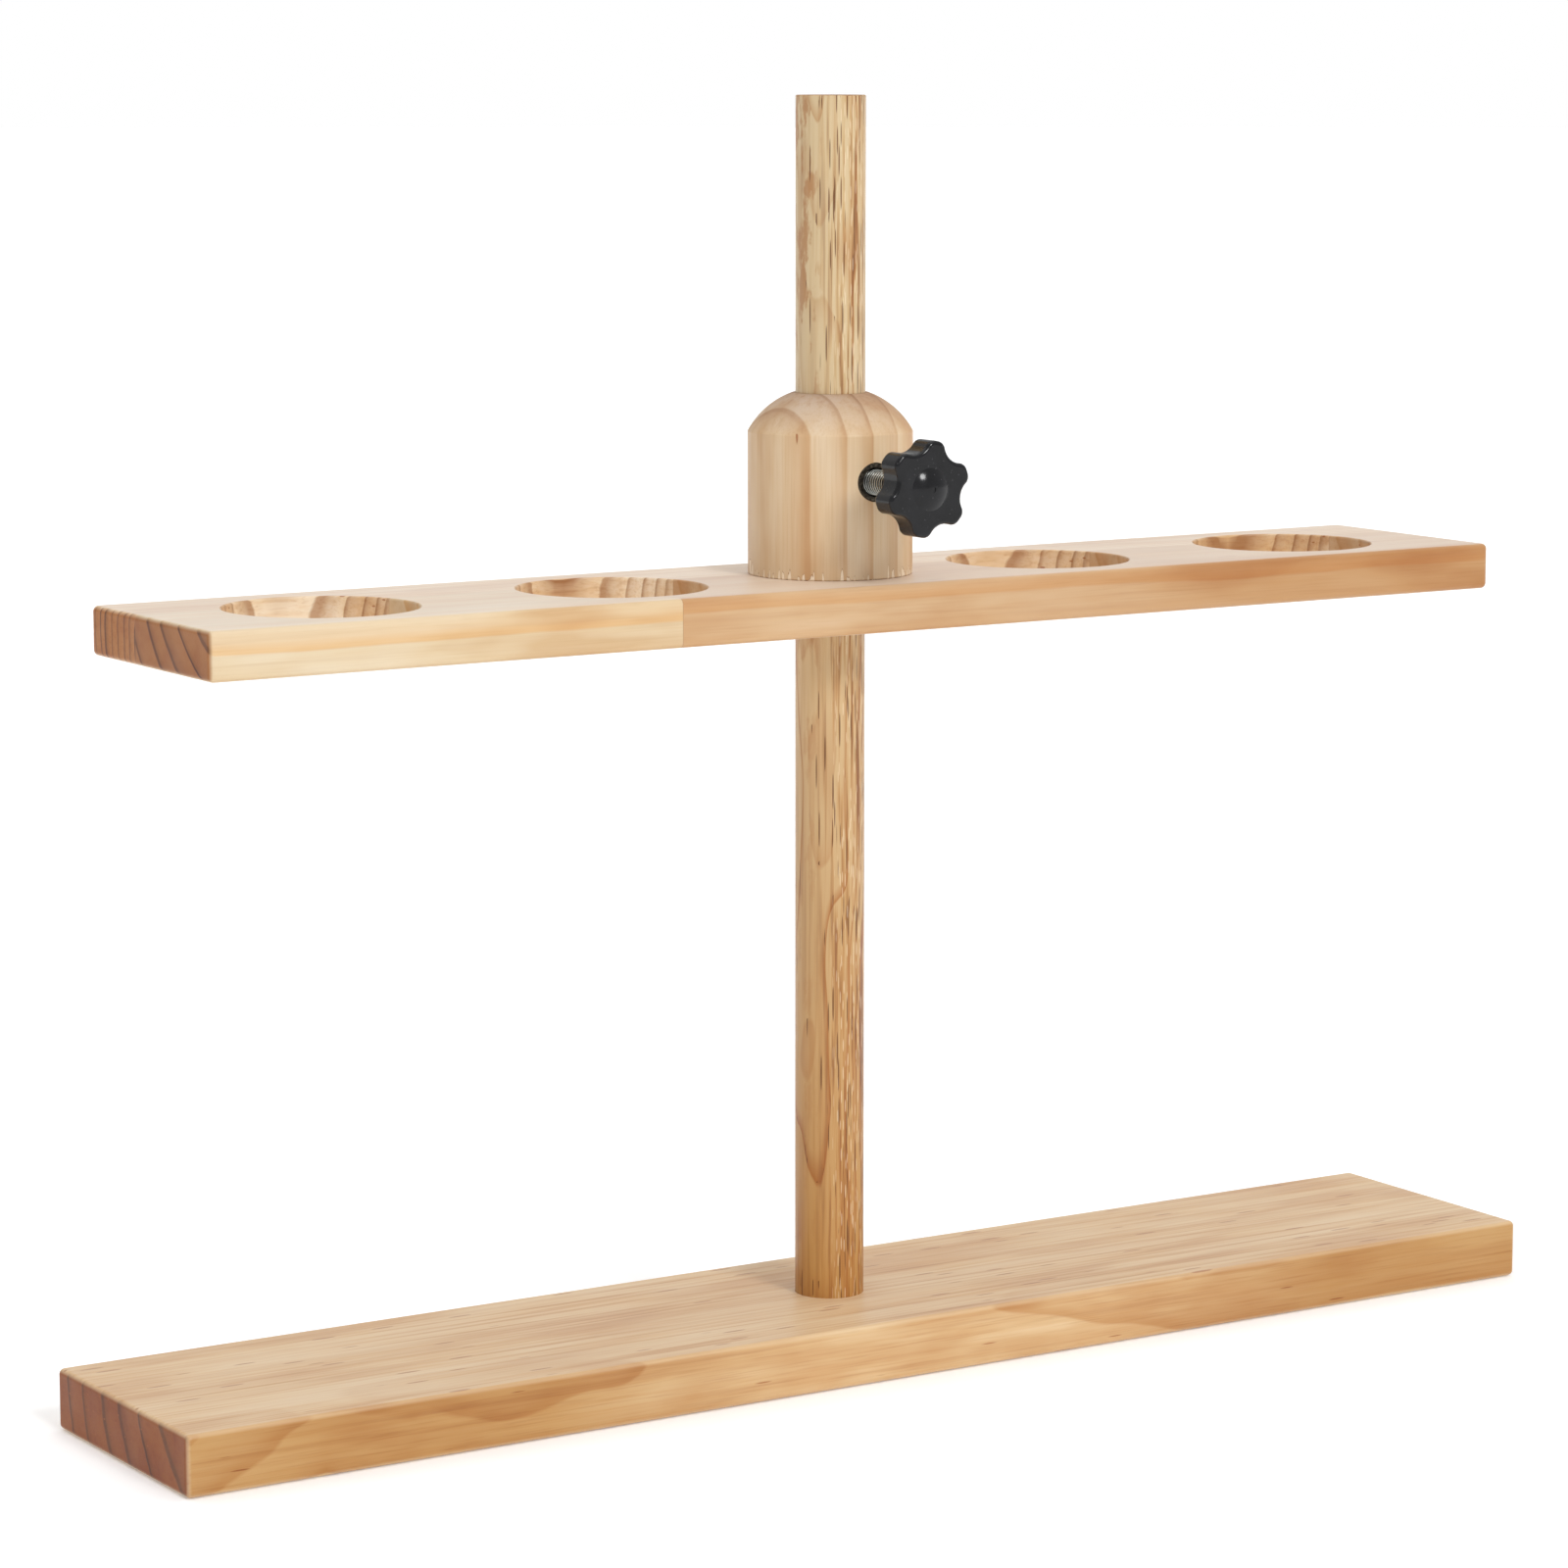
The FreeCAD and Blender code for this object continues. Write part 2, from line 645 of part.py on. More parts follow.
pieces = [base, post, post_screw, holder, collar, pair, insert, stud, knob]
os.makedirs("parts", exist_ok=True)
for piece in pieces:
    shape = piece.Shape
    if shape.isNull() or not shape.isValid():
        raise RuntimeError(piece.Label + " has no valid shape")
    shape.exportStep(os.path.join("parts", piece.Label + ".step"))
    print(piece.Label, len(shape.Solids), "solid(s)", round(shape.Volume, 1), "mm3")
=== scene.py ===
import math

import bmesh
import bpy
from mathutils import Matrix, Vector


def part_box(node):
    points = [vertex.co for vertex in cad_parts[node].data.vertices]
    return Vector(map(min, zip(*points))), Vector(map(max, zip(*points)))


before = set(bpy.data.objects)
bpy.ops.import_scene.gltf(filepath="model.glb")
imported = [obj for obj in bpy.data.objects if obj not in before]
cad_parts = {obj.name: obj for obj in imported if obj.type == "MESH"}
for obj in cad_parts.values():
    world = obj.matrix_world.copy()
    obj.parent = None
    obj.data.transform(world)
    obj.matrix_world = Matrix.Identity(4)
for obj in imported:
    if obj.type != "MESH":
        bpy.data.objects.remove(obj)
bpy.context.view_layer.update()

# ---------------------------------------------------------------------------------------------
# Base board: one plank of pine, planed, its edges eased on a router and sanded, then sprayed with
# a clear satin lacquer. The rings run steeply through its thickness, so its top shows straight
# lines, its front edge shows wavy figure, and its sawn ends are brown with slanted dark rings.
# ---------------------------------------------------------------------------------------------
MM = 1000.0  # object coordinates are metres, and every pattern is worked out in millimetres


def linear(code):
    """An sRGB hex colour as the linear RGBA that shaders take."""
    shades = [int(code[i:i + 2], 16) / 255 for i in (1, 3, 5)]
    return [c / 12.92 if c <= 0.04045 else ((c + 0.055) / 1.055) ** 2.4 for c in shades] + [1.0]


def put(tree, kind, feeds=None, stops=None, **settings):
    """Add a node: feeds are its inputs, each a value or another node's output."""
    made = tree.nodes.new(kind)
    for name, value in settings.items():
        setattr(made, name, value)
    for socket, value in (feeds or {}).items():
        if isinstance(value, bpy.types.NodeSocket):
            tree.links.new(value, made.inputs[socket])
        else:
            made.inputs[socket].default_value = value
    if stops:
        points = made.color_ramp.elements
        while len(points) < len(stops):
            points.new(0.5)
        for point, (place, colour) in zip(points, stops):
            point.position = place
            point.color = linear(colour) if isinstance(colour, str) else [colour] * 3 + [1.0]
    return made


def start_material(name):
    """An empty material with its shader and output, and the tree to build on."""
    made = bpy.data.materials.new(name)
    made.use_nodes = True
    tree = made.node_tree
    tree.nodes.clear()
    shader = put(tree, "ShaderNodeBsdfPrincipled")
    put(tree, "ShaderNodeOutputMaterial", {"Surface": shader.outputs[0]})
    return made, tree, shader


def give(node, material):
    """The CAD node takes this finish in place of the plain one it was packed with."""
    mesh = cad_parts[node].data
    mesh.materials.clear()
    mesh.materials.append(material)


def grain_frame(tree, turn=(0, 0, 0)):
    """Millimetre coordinates with the grain along X, and how squarely the surface cuts it."""
    here = put(tree, "ShaderNodeTexCoord")
    place = put(tree, "ShaderNodeMapping", {
        "Vector": here.outputs["Object"], "Rotation": turn, "Scale": (MM, MM, MM)})
    facing = put(tree, "ShaderNodeMapping", {"Vector": here.outputs["Normal"], "Rotation": turn})
    bare = put(tree, "ShaderNodeVectorMath", {0: facing.outputs[0]}, operation="ABSOLUTE")
    parts = put(tree, "ShaderNodeSeparateXYZ", {0: bare.outputs[0]})
    side_cut, cross_cut = 0.45, 0.95  # cosines of the angle between the normal and the grain
    end_grain = put(tree, "ShaderNodeMapRange", {
        "Value": parts.outputs["X"], "From Min": side_cut, "From Max": cross_cut})
    return place.outputs[0], end_grain.outputs[0], parts


def stretched(tree, place, along, across, seed=0.0):
    """The grain's coordinates squeezed so that one unit is so many millimetres each way."""
    elsewhere = (seed, seed * 0.61, seed * 1.37)
    made = put(tree, "ShaderNodeMapping", {
        "Vector": place, "Location": elsewhere, "Scale": (1 / along, 1 / across, 1 / across)})
    return made.outputs[0]


def pine_stave(tree, place, end_grain, planed, pith, year, first, wander, seed, colours,
               canals=0.6, streaky=0.75, crisp=1.0, extra=None):
    """Colour and relief of one stave sawn from a pine log. Its rings are cylinders round the pith,
    which lies outside the stave; each year's wood darkens slowly, then stops at a sharp edge.
    Lengths are in millimetres. The four colours are early and late wood, cut along the grain and
    then across it; extra pushes the rings aside, as a knot does."""
    early, late, end_early, end_late = [linear(code) for code in colours]
    spoke = put(tree, "ShaderNodeMapping", {
        "Vector": place, "Location": (0, -pith[0], -pith[1]), "Scale": (0, 1, 1)})
    radius = put(tree, "ShaderNodeVectorMath", {0: spoke.outputs[0]}, operation="LENGTH")
    crook = put(tree, "ShaderNodeTexNoise", {
        "Vector": stretched(tree, place, along=150, across=70, seed=seed), "Scale": 1,
        "Detail": 1.5, "Roughness": 0.4})
    bent = put(tree, "ShaderNodeMath", {
        0: crook.outputs[0], 1: wander, 2: radius.outputs["Value"]}, operation="MULTIPLY_ADD")
    ripple = put(tree, "ShaderNodeTexNoise", {
        "Vector": stretched(tree, place, along=26, across=9, seed=seed + 5), "Scale": 1,
        "Detail": 2})
    ripple_height = wander * 0.07 + 0.5
    rippled = put(tree, "ShaderNodeMath", {
        0: ripple.outputs[0], 1: ripple_height, 2: bent.outputs[0]}, operation="MULTIPLY_ADD")
    rings = rippled.outputs[0]
    if extra:
        rings = put(tree, "ShaderNodeMath", {0: rings, 1: extra}, operation="ADD").outputs[0]
    years = put(tree, "ShaderNodeMath", {
        0: rings, 1: 1 / year, 2: -first / year}, operation="MULTIPLY_ADD")
    # good and poor summers make some years up to 0.7 of a ring wider or narrower
    summer = put(tree, "ShaderNodeTexNoise", {"W": years.outputs[0], "Scale": 0.9, "Detail": 0},
                 noise_dimensions="1D")
    aged = put(tree, "ShaderNodeMath", {
        0: summer.outputs[0], 1: 0.7, 2: years.outputs[0]}, operation="MULTIPLY_ADD")
    within = put(tree, "ShaderNodeMath", {0: aged.outputs[0]}, operation="FRACT")
    count = put(tree, "ShaderNodeMath", {0: aged.outputs[0]}, operation="FLOOR")
    chance = put(tree, "ShaderNodeTexWhiteNoise", {"W": count.outputs[0]}, noise_dimensions="1D")
    weight = put(tree, "ShaderNodeMapRange", {"Value": chance.outputs[0], "To Min": 0.5})
    band = put(tree, "ShaderNodeValToRGB", {0: within.outputs[0]}, stops=[
        (0.0, 0.0), (0.3, 0.04), (0.72, 0.45), (0.88, crisp), (0.955, crisp), (1.0, 0.0)])
    thin_band = put(tree, "ShaderNodeValToRGB", {0: within.outputs[0]}, stops=[
        (0.0, 0.0), (0.55, 0.1), (0.8, 0.4), (0.87, 1.0), (0.95, 1.0), (1.0, 0.0)])
    dark = put(tree, "ShaderNodeMath", {
        0: band.outputs[0], 1: weight.outputs[0]}, operation="MULTIPLY")
    # the rings meet the planed faces at a low angle, so they show less there than on the edges
    planed_contrast = 0.42
    calm = put(tree, "ShaderNodeMapRange", {
        "Value": planed, "From Min": 0.7, "From Max": 1.0, "To Min": 1.0,
        "To Max": planed_contrast})
    seen = put(tree, "ShaderNodeMath", {0: dark.outputs[0], 1: calm.outputs[0]},
               operation="MULTIPLY")
    side = put(tree, "ShaderNodeMix", {0: seen.outputs[0], 6: early, 7: late}, data_type="RGBA")
    sawn_dark = put(tree, "ShaderNodeMath", {
        0: thin_band.outputs[0], 1: weight.outputs[0]}, operation="MULTIPLY")
    sawn = put(tree, "ShaderNodeMix", {0: sawn_dark.outputs[0], 6: end_early, 7: end_late},
               data_type="RGBA")
    wood = put(tree, "ShaderNodeMix", {
        0: end_grain, 6: side.outputs[2], 7: sawn.outputs[2]}, data_type="RGBA")
    # broad clouds a few centimetres long where the wood took up more lacquer
    cloud = put(tree, "ShaderNodeTexNoise", {
        "Vector": stretched(tree, place, along=75, across=17, seed=seed + 41), "Scale": 1,
        "Detail": 3})
    clouds = put(tree, "ShaderNodeValToRGB", {0: cloud.outputs[0]}, stops=[
        (0.36, "#e4c8a3"), (0.5, "#f8f0e2"), (0.62, "#ffffff")])
    cloud_share = 0.7
    clouded = put(tree, "ShaderNodeMix", {
        0: cloud_share, 6: wood.outputs[2], 7: clouds.outputs[0]},
        data_type="RGBA", blend_type="MULTIPLY")
    # brown streaks one or two millimetres wide, then bundles of fibres: a pine fibre is 0.03 mm
    # wide, so the bundles are drawn 0.6 mm wide to show at all
    streak = put(tree, "ShaderNodeTexNoise", {
        "Vector": stretched(tree, place, along=95, across=1.9, seed=seed + 11), "Scale": 1,
        "Detail": 3})
    streaks = put(tree, "ShaderNodeValToRGB", {0: streak.outputs[0]}, stops=[
        (0.3, "#d6b083"), (0.42, "#f6e7d0"), (0.56, "#ffffff")])
    # the streaks show most on the planed faces, where the fibres lie flat
    lying = put(tree, "ShaderNodeMapRange", {
        "Value": planed, "From Min": 0.7, "From Max": 1.0, "To Min": streaky * 0.65,
        "To Max": streaky * 1.45})
    streaked = put(tree, "ShaderNodeMix", {
        0: lying.outputs[0], 6: clouded.outputs[2], 7: streaks.outputs[0]},
        data_type="RGBA", blend_type="MULTIPLY")
    fibre = put(tree, "ShaderNodeTexNoise", {
        "Vector": stretched(tree, place, along=24, across=0.6, seed=seed + 17), "Scale": 1,
        "Detail": 3})
    fibres = put(tree, "ShaderNodeValToRGB", {0: fibre.outputs[0]}, stops=[
        (0.3, "#d9b894"), (0.47, "#fdf6ec"), (0.7, "#ffffff")])
    fibrous = put(tree, "ShaderNodeMix", {
        0: streaky * 0.6, 6: streaked.outputs[2], 7: fibres.outputs[0]},
        data_type="RGBA", blend_type="MULTIPLY")
    # resin canals: brown dashes up to 9 mm long. Real ones are 0.2 mm wide, and these are drawn
    # about 1 mm wide so that they show
    cells = put(tree, "ShaderNodeMapping", {
        "Vector": stretched(tree, place, along=26, across=2.0, seed=seed + 23),
        "Scale": (1, 0.55, 1)})
    canal = put(tree, "ShaderNodeTexVoronoi", {"Vector": cells.outputs[0], "Scale": 1})
    rim, mouth = 0.18, 0.14  # distances from a cell's centre, in cells
    open_canal = put(tree, "ShaderNodeMapRange", {
        "Value": canal.outputs["Distance"], "From Min": rim, "From Max": mouth})
    picked = put(tree, "ShaderNodeMath", {
        0: canal.outputs["Color"], 1: 1 - canals}, operation="GREATER_THAN")
    dash = put(tree, "ShaderNodeMath", {
        0: open_canal.outputs[0], 1: picked.outputs[0]}, operation="MULTIPLY")
    resin_share = put(tree, "ShaderNodeMath", {0: dash.outputs[0], 1: 0.72},
                      operation="MULTIPLY")
    finished = put(tree, "ShaderNodeMix", {
        0: resin_share.outputs[0], 6: fibrous.outputs[2], 7: linear("#96511f")},
        data_type="RGBA")
    grooved = put(tree, "ShaderNodeMath", {
        0: fibre.outputs[0], 1: 0.5, 2: dark.outputs[0]}, operation="MULTIPLY_ADD")
    relief = put(tree, "ShaderNodeMath", {
        0: dash.outputs[0], 1: -0.4, 2: grooved.outputs[0]}, operation="MULTIPLY_ADD")
    return finished.outputs[2], relief.outputs[0]


def edge_wear_and_highlight(tree, parts, colour, worn_and_highlit, share):
    """Lighter wood on the rounded corners of a board: partly sanding wear, partly a painted
    highlight.
    """
    wide = put(tree, "ShaderNodeMath", {
        0: parts.outputs["X"], 1: parts.outputs["Y"]}, operation="MAXIMUM")
    square = put(tree, "ShaderNodeMath", {0: wide.outputs[0], 1: parts.outputs["Z"]},
                 operation="MAXIMUM")
    on_face, on_corner = 0.985, 0.8  # the normal's largest component
    edge = put(tree, "ShaderNodeMapRange", {
        "Value": square.outputs[0], "From Min": on_face, "From Max": on_corner,
        "To Max": share})
    made = put(tree, "ShaderNodeMix", {
        0: edge.outputs[0], 6: colour, 7: linear(worn_and_highlit)}, data_type="RGBA")
    return made.outputs[2]


def surface(tree, shader, colour, rough, height, strength, depth):
    """Feed the shader its colour and roughness, and a relief of this depth in metres."""
    bump = put(tree, "ShaderNodeBump", {
        "Height": height, "Strength": strength, "Distance": depth})
    for socket, source in (("Base Color", colour), ("Roughness", rough),
                           ("Normal", bump.outputs[0])):
        tree.links.new(source, shader.inputs[socket])


def lacquer(tree, shader, place, end_grain, colour, relief, rough, depth):
    """Satin lacquer over wood: the fibres still show as fine relief, and sawn ends drink it in,
    so they are duller."""
    blotch = put(tree, "ShaderNodeTexNoise", {
        "Vector": stretched(tree, place, along=40, across=18, seed=3.0), "Scale": 1,
        "Detail": 3})
    uneven = put(tree, "ShaderNodeMapRange", {
        "Value": blotch.outputs[0], "From Min": 0.3, "From Max": 0.7,
        "To Min": rough - 0.05, "To Max": rough + 0.08})
    end_dullness = 0.16
    dull = put(tree, "ShaderNodeMath", {0: end_grain, 1: end_dullness, 2: uneven.outputs[0]},
               operation="MULTIPLY_ADD")
    surface(tree, shader, colour, dull.outputs[0], relief, 0.6, depth)
    for socket, value in (("IOR", 1.5), ("Specular IOR Level", 0.34), ("Coat Weight", 0.12),
                          ("Coat Roughness", 0.25)):
        shader.inputs[socket].default_value = value


base_pine, tree, shader = start_material("lacquered_pine_base")
place, end_grain, parts = grain_frame(tree)
# The front edge was sawn close to a knot, so the rings swirl there: by up to 36 mm at the front,
# mostly in its left half, and hardly at all at the sawn end.
KNOT_PUSH = 36.0
KNOT_EDGE_Y, KNOT_CORE_Y = -22.0, -43.0
swirl = put(tree, "ShaderNodeTexNoise", {
    "Vector": stretched(tree, place, along=66, across=40, seed=52.0), "Scale": 1,
    "Detail": 1.2})
across = put(tree, "ShaderNodeSeparateXYZ", {0: place})
near_front = put(tree, "ShaderNodeMapRange", {
    "Value": across.outputs["Y"], "From Min": KNOT_EDGE_Y, "From Max": KNOT_CORE_Y,
    "To Max": KNOT_PUSH})
near_left = put(tree, "ShaderNodeMapRange", {
    "Value": across.outputs["X"], "From Min": 110.0, "From Max": 10.0, "To Min": 0.2})
inboard = put(tree, "ShaderNodeMapRange", {
    "Value": across.outputs["X"], "From Min": -249.0, "From Max": -205.0, "To Min": 0.1})
spread = put(tree, "ShaderNodeMath", {0: inboard.outputs[0], 1: near_left.outputs[0]},
             operation="MULTIPLY")
reach = put(tree, "ShaderNodeMath", {0: near_front.outputs[0], 1: spread.outputs[0]},
            operation="MULTIPLY")
swirled = put(tree, "ShaderNodeMath", {0: swirl.outputs[0], 1: reach.outputs[0]},
              operation="MULTIPLY")
colour, relief = pine_stave(
    tree, place, end_grain, parts.outputs["Z"], pith=(-80, 40), year=12, first=4.0, wander=20,
    seed=2.3, colours=("#dac09a", "#c2955f", "#945322", "#5d3517"), streaky=0.55, crisp=0.85,
    extra=swirled.outputs[0])
# the front edge is browner at both ends of the board than just right of the middle
PALE_X = 20.0
off_middle = put(tree, "ShaderNodeMath", {0: across.outputs["X"], 1: PALE_X},
                 operation="SUBTRACT")
how_far = put(tree, "ShaderNodeMath", {0: off_middle.outputs[0]}, operation="ABSOLUTE")
browner = put(tree, "ShaderNodeMapRange", {
    "Value": how_far.outputs[0], "From Min": 60.0, "From Max": 150.0})
on_edge = put(tree, "ShaderNodeMath", {0: browner.outputs[0], 1: parts.outputs["Y"]},
              operation="MULTIPLY")
colour = put(tree, "ShaderNodeMix", {
    0: on_edge.outputs[0], 6: colour, 7: linear("#dcc59f")},
    data_type="RGBA", blend_type="MULTIPLY").outputs[2]
# the top and the underside are painted a little paler and pinker than the edges: a painted sheen
painted_sheen = put(tree, "ShaderNodeMapRange", {
    "Value": parts.outputs["Z"], "From Min": 0.9, "From Max": 1.0, "To Max": 0.17})
colour = put(tree, "ShaderNodeMix", {
    0: painted_sheen.outputs[0], 6: colour, 7: linear("#f0dcc8")}, data_type="RGBA").outputs[2]
# the rounded edges are painted lighter: sanding wear and a painted highlight along them
colour = edge_wear_and_highlight(tree, parts, colour, "#efd8b6", 0.22)
lacquer(tree, shader, place, end_grain, colour, relief, rough=0.4, depth=0.00006)
give("base_board", base_pine)

# ---------------------------------------------------------------------------------------------
# Post: a bought dowel of a ring-porous hardwood, turned between cutters and lacquered. Its open
# pores show as dark dashes along the grain, close together on the side cut across the rings, and
# it has brown flecks where the cut runs into darker heartwood.
# ---------------------------------------------------------------------------------------------
UPRIGHT = (0, math.radians(90), 0)  # turns the grain's own X to point up the piece
RING_SIDE = (0, -0.556, -0.83)      # level direction in which the dowel cuts its rings squarely
PITH = (17, -35)                    # mm, the log's middle, in the grain's own Y and Z
SLOPE = 0.02                        # how far the grain runs off the dowel's axis as it rises
YEAR = 3.1                          # mm of wood a year
WANDER = 15.0                       # mm that the rings wave in and out

dowel, tree, shader = start_material("lacquered_hardwood_dowel")
place, end_grain, _ = grain_frame(tree, UPRIGHT)
heights = put(tree, "ShaderNodeSeparateXYZ", {0: place})
spoke = put(tree, "ShaderNodeMapping", {
    "Vector": place, "Location": (0, -PITH[0], -PITH[1]), "Scale": (0, 1, 1)})
radius = put(tree, "ShaderNodeVectorMath", {0: spoke.outputs[0]}, operation="LENGTH")
leaning = put(tree, "ShaderNodeMath", {
    0: heights.outputs["X"], 1: SLOPE, 2: radius.outputs["Value"]}, operation="MULTIPLY_ADD")
wave = put(tree, "ShaderNodeTexNoise", {
    "Vector": stretched(tree, place, along=62, across=13, seed=7.1), "Scale": 1,
    "Detail": 0.8})
bent = put(tree, "ShaderNodeMath", {
    0: wave.outputs[0], 1: WANDER, 2: leaning.outputs[0]}, operation="MULTIPLY_ADD")
years = put(tree, "ShaderNodeMath", {0: bent.outputs[0], 1: 1 / YEAR}, operation="MULTIPLY")
within = put(tree, "ShaderNodeMath", {0: years.outputs[0]}, operation="FRACT")
count = put(tree, "ShaderNodeMath", {0: years.outputs[0]}, operation="FLOOR")
chance = put(tree, "ShaderNodeTexWhiteNoise", {"W": count.outputs[0]}, noise_dimensions="1D")
band = put(tree, "ShaderNodeValToRGB", {0: within.outputs[0]}, stops=[
    (0.0, 0.0), (0.06, 1.0), (0.16, 0.7), (0.4, 0.08), (1.0, 0.0)])
strength = put(tree, "ShaderNodeMapRange", {"Value": chance.outputs[0], "To Min": 0.35})
dark = put(tree, "ShaderNodeMath", {0: band.outputs[0], 1: strength.outputs[0]},
           operation="MULTIPLY")
side = put(tree, "ShaderNodeMix", {
    0: dark.outputs[0], 6: linear("#cfb891"), 7: linear("#b07c46")}, data_type="RGBA")
sawn = put(tree, "ShaderNodeMix", {
    0: dark.outputs[0], 6: linear("#b99368"), 7: linear("#7d5230")}, data_type="RGBA")
wood = put(tree, "ShaderNodeMix", {
    0: end_grain, 6: side.outputs[2], 7: sawn.outputs[2]}, data_type="RGBA")
# the lower end of this length of timber is warmer and darker than the top
low = put(tree, "ShaderNodeMapRange", {
    "Value": heights.outputs["X"], "From Min": 300.0, "From Max": 20.0})
warmed = put(tree, "ShaderNodeMix", {
    0: low.outputs[0], 6: wood.outputs[2], 7: linear("#e6c18c")},
    data_type="RGBA", blend_type="MULTIPLY")
# brown streaks about a millimetre wide, strongest on the side that cuts the rings squarely
streak = put(tree, "ShaderNodeTexNoise", {
    "Vector": stretched(tree, place, along=42, across=1.2, seed=31.0), "Scale": 1,
    "Detail": 4})
streaks = put(tree, "ShaderNodeValToRGB", {0: streak.outputs[0]}, stops=[
    (0.34, "#ad7a45"), (0.45, "#efdabc"), (0.54, "#ffffff")])
squarely = put(tree, "ShaderNodeVectorMath", {0: place, 1: RING_SIDE}, operation="DOT_PRODUCT")
lined = put(tree, "ShaderNodeMapRange", {
    "Value": squarely.outputs["Value"], "From Min": -4.0, "From Max": 4.0, "To Min": 0.25,
    "To Max": 0.85})
streaked = put(tree, "ShaderNodeMix", {
    0: lined.outputs[0], 6: warmed.outputs[2], 7: streaks.outputs[0]},
    data_type="RGBA", blend_type="MULTIPLY")
# heartwood flecks 8 to 20 mm tall with ragged edges, on the side away from the squarely cut rings
fleck = put(tree, "ShaderNodeTexNoise", {
    "Vector": stretched(tree, place, along=19, across=5.5, seed=47.0), "Scale": 1,
    "Detail": 5, "Roughness": 0.62})
flecked = put(tree, "ShaderNodeMapRange", {
    "Value": fleck.outputs[0], "From Min": 0.53, "From Max": 0.59})
away = put(tree, "ShaderNodeMapRange", {
    "Value": squarely.outputs["Value"], "From Min": -1.5, "From Max": -6.0})
high = put(tree, "ShaderNodeMapRange", {
    "Value": heights.outputs["X"], "From Min": 190.0, "From Max": 290.0, "To Min": 0.25,
    "To Max": 0.72})
upper_fleck = put(tree, "ShaderNodeMath", {0: flecked.outputs[0], 1: high.outputs[0]},
                  operation="MULTIPLY")
fleck_share = put(tree, "ShaderNodeMath", {0: upper_fleck.outputs[0], 1: away.outputs[0]},
                  operation="MULTIPLY")
brown = put(tree, "ShaderNodeMix", {
    0: fleck_share.outputs[0], 6: streaked.outputs[2], 7: linear("#a8713f")}, data_type="RGBA")
# pale dashes up to 5 mm long and 0.4 mm wide among the pores: ray flecks and painted glints
ray_and_glint_cells = put(tree, "ShaderNodeTexVoronoi", {
    "Vector": stretched(tree, place, along=8, across=0.62, seed=63.0), "Scale": 1})
pale = put(tree, "ShaderNodeMapRange", {
    "Value": ray_and_glint_cells.outputs["Distance"], "From Min": 0.3, "From Max": 0.24})
ray_and_glint_side = put(tree, "ShaderNodeMapRange", {
    "Value": squarely.outputs["Value"], "From Min": 0.0, "From Max": 4.0, "To Max": 0.4})
ray_and_glint_share = put(tree, "ShaderNodeMath", {0: pale.outputs[0], 1: ray_and_glint_side.outputs[0]},
           operation="MULTIPLY")
# painted glints of the lacquer beside the pores, drawn together with the pale ray flecks
ray_and_glint_mix = put(tree, "ShaderNodeMix", {
    0: ray_and_glint_share.outputs[0], 6: brown.outputs[2], 7: linear("#f4e3c4")}, data_type="RGBA")
# open pores: dashes up to 12 mm long, crowded where a year begins. Real ones are 0.3 mm wide,
# and these are drawn 0.5 mm wide so that they show
pore = put(tree, "ShaderNodeTexVoronoi", {
    "Vector": stretched(tree, place, along=18, across=0.74, seed=9.0), "Scale": 1})
hollow = put(tree, "ShaderNodeMapRange", {
    "Value": pore.outputs["Distance"], "From Min": 0.34, "From Max": 0.28})
rows = put(tree, "ShaderNodeMapRange", {
    "Value": squarely.outputs["Value"], "From Min": -7.0, "From Max": 5.0, "To Min": 0.08,
    "To Max": 0.55})
crowd = put(tree, "ShaderNodeMath", {0: dark.outputs[0], 1: 0.45, 2: rows.outputs[0]},
            operation="MULTIPLY_ADD")
picked = put(tree, "ShaderNodeMath", {0: pore.outputs["Color"], 1: crowd.outputs[0]},
             operation="LESS_THAN")
lines = put(tree, "ShaderNodeMath", {0: hollow.outputs[0], 1: picked.outputs[0]},
            operation="MULTIPLY")
pore_darkness = put(tree, "ShaderNodeMath", {0: lines.outputs[0], 1: 0.85},
                    operation="MULTIPLY")
pored = put(tree, "ShaderNodeMix", {
    0: pore_darkness.outputs[0], 6: ray_and_glint_mix.outputs[2], 7: linear("#643813")}, data_type="RGBA")
fibre = put(tree, "ShaderNodeTexNoise", {
    "Vector": stretched(tree, place, along=18, across=0.5, seed=3.0), "Scale": 1,
    "Detail": 2})
relief = put(tree, "ShaderNodeMath", {0: fibre.outputs[0], 1: lines.outputs[0]},
             operation="SUBTRACT")
lacquer(tree, shader, place, end_grain, pored.outputs[2], relief.outputs[0], rough=0.42,
        depth=0.00012)
give("post", dowel)

# ---------------------------------------------------------------------------------------------
# Holder board: planed from edge-glued, finger-jointed pine. Three staves show: a close-grained one
# along the back, and two along the front that meet end to end left of the post. The holes are
# bored through the glued board, so their walls show end grain on the sides that face along it.
# ---------------------------------------------------------------------------------------------
GLUE_LINE_Y = 9.6     # mm, the edge joint between the back stave and the front ones
BUTT_JOINT_X = -78.5  # mm, where the two front staves meet
BUTT_HALF_WIDTH, GLUE_HALF_WIDTH = 0.16, 0.12  # mm
BEYOND_HOLES_X, SAWN_END_X = 233.0, 235.0      # mm from the middle

glued_pine, tree, shader = start_material("lacquered_glued_pine")
place, end_grain, parts = grain_frame(tree)
where = put(tree, "ShaderNodeSeparateXYZ", {0: place})
